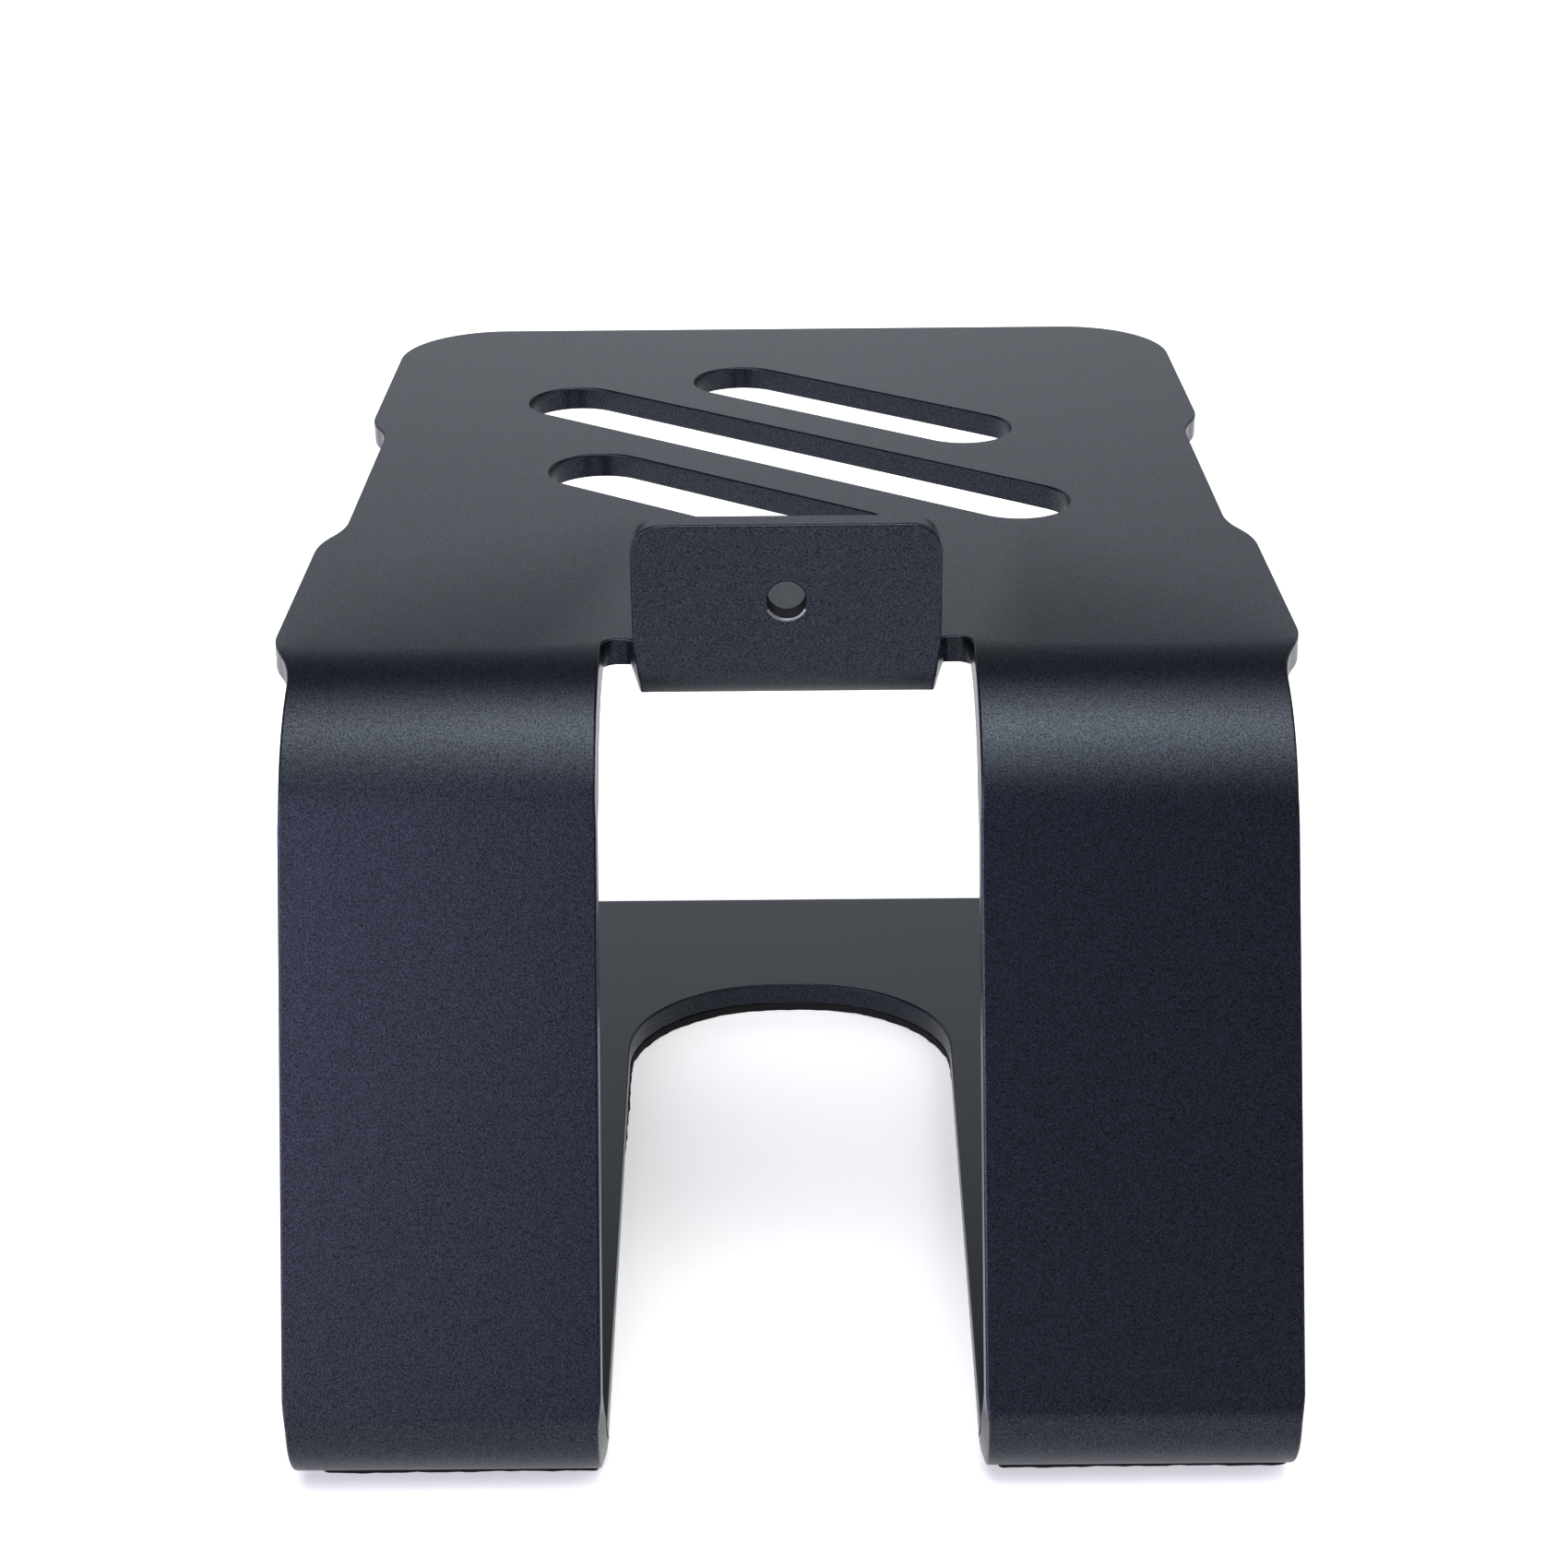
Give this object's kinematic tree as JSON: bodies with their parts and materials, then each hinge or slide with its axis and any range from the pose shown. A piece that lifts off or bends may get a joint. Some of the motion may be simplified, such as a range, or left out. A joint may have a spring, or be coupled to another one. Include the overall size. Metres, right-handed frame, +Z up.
{
  "type": "desktop speaker stand",
  "caption": "C-shaped desktop speaker stand folded from one sheet, with a tilted slotted deck, leaning legs and an open base on a rubber sheet.",
  "frame": {"origin": "centre of the bounding box, at the level of the desk under the rubber sheet", "axes": "+Z up, +Y towards the front, where the raised end of the deck is; the legs and the tab are at -Y"},
  "size_m": [0.145, 0.2126, 0.1287],
  "materials": {
    "coated_metal": "matte fine-textured powder coat, slate black",
    "rubber": "matte black sheet rubber"
  },
  "bodies": {
    "root": {"bent_plate": "coated_metal", "base_pad": "rubber"}
  },
  "joints": []
}
